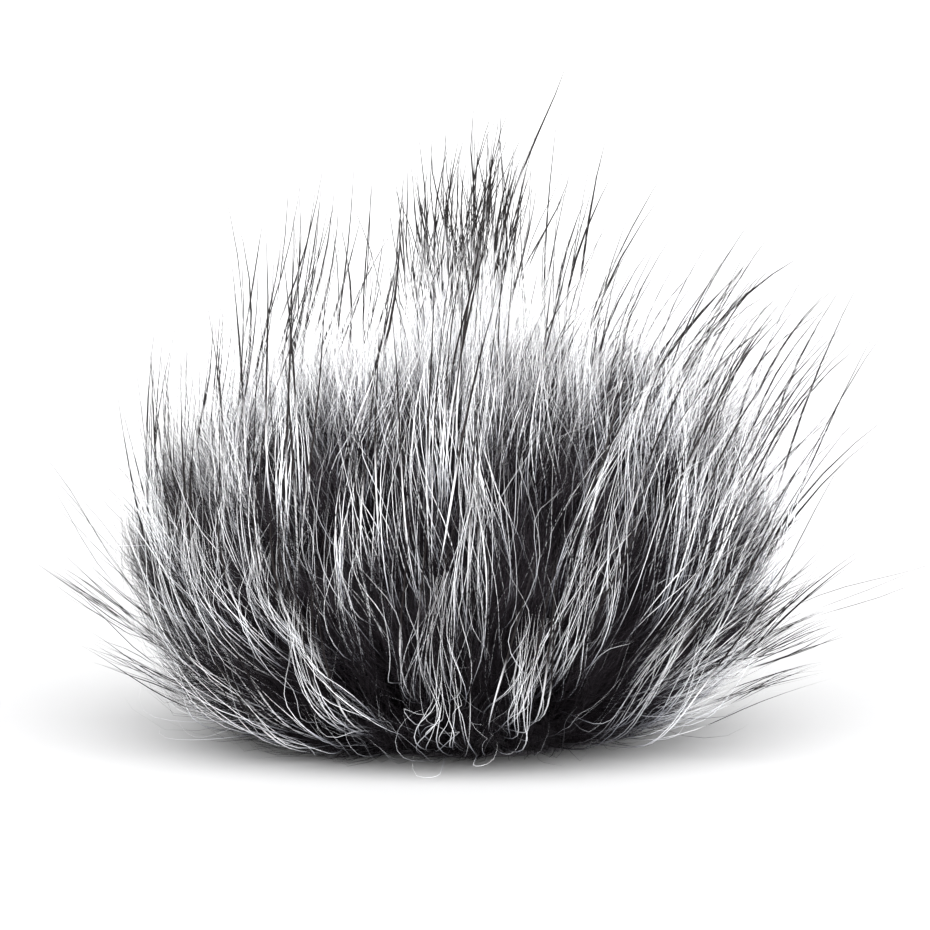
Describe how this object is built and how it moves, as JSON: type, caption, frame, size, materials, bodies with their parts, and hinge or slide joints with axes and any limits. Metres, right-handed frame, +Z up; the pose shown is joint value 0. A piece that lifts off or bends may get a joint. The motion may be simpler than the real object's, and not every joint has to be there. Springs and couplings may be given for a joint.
{
  "type": "furry microphone windscreen",
  "caption": "Squat slip-on wind muff of long grey faux fur over a foam core, with a drawn-in elastic mouth and a drawcord with a sprung cord lock.",
  "frame": {"origin": "centre of the mouth, on the plane the windscreen stands on", "axes": "+Z up, along the microphone's axis into the cavity; -Y the front; +Y the back, where the cord tails leave"},
  "size_m": [0.1852, 0.1852, 0.134],
  "materials": {
    "undercoat": "matte",
    "guard_hair": "satin",
    "knit_backing": "matte",
    "foam": "matte",
    "mesh_lining": "matte",
    "casing_tape": "matte",
    "thread": "satin",
    "cord": "matte",
    "grip_rubber": "matte",
    "eyelet_metal": "satin",
    "spring_steel": "polished",
    "lock_plastic": "satin",
    "plunger_plastic": "satin",
    "tip_plastic": "gloss"
  },
  "bodies": {
    "muff": {"undercoat_front": "undercoat", "undercoat_right": "undercoat", "undercoat_back": "undercoat", "undercoat_left": "undercoat", "guard_hair_front": "guard_hair", "guard_hair_right": "guard_hair", "guard_hair_back": "guard_hair", "guard_hair_left": "guard_hair", "fur_backing_front": "knit_backing", "fur_backing_right": "knit_backing", "fur_backing_back": "knit_backing", "fur_backing_left": "knit_backing", "gore_seam_thread": "thread", "hem_thread": "thread", "lining_thread": "thread", "foam_liner": "foam", "mesh_lining": "mesh_lining", "grip_band": "grip_rubber", "cord_casing": "casing_tape", "drawcord": "cord", "cord_tips": "tip_plastic", "cord_eyelet": "eyelet_metal", "eyelet_washer": "eyelet_metal"},
    "cord_lock": {"cord_lock_body": "lock_plastic", "cord_lock_spring": "spring_steel"},
    "plunger": {"cord_lock_plunger": "plunger_plastic"}
  },
  "joints": [
    {"name": "cord_lock_slide", "type": "slide", "parent": "muff", "child": "cord_lock", "axis": [0, 1, 0], "range_m": [-0.026, 0.011]},
    {"name": "plunger_press", "type": "slide", "parent": "cord_lock", "child": "plunger", "axis": [-1, 0, 0], "range_m": [0, 0.0035], "stiffness_N_per_m": 600, "springref_m": -0.003, "deforming": ["cord_lock_spring"]}
  ]
}
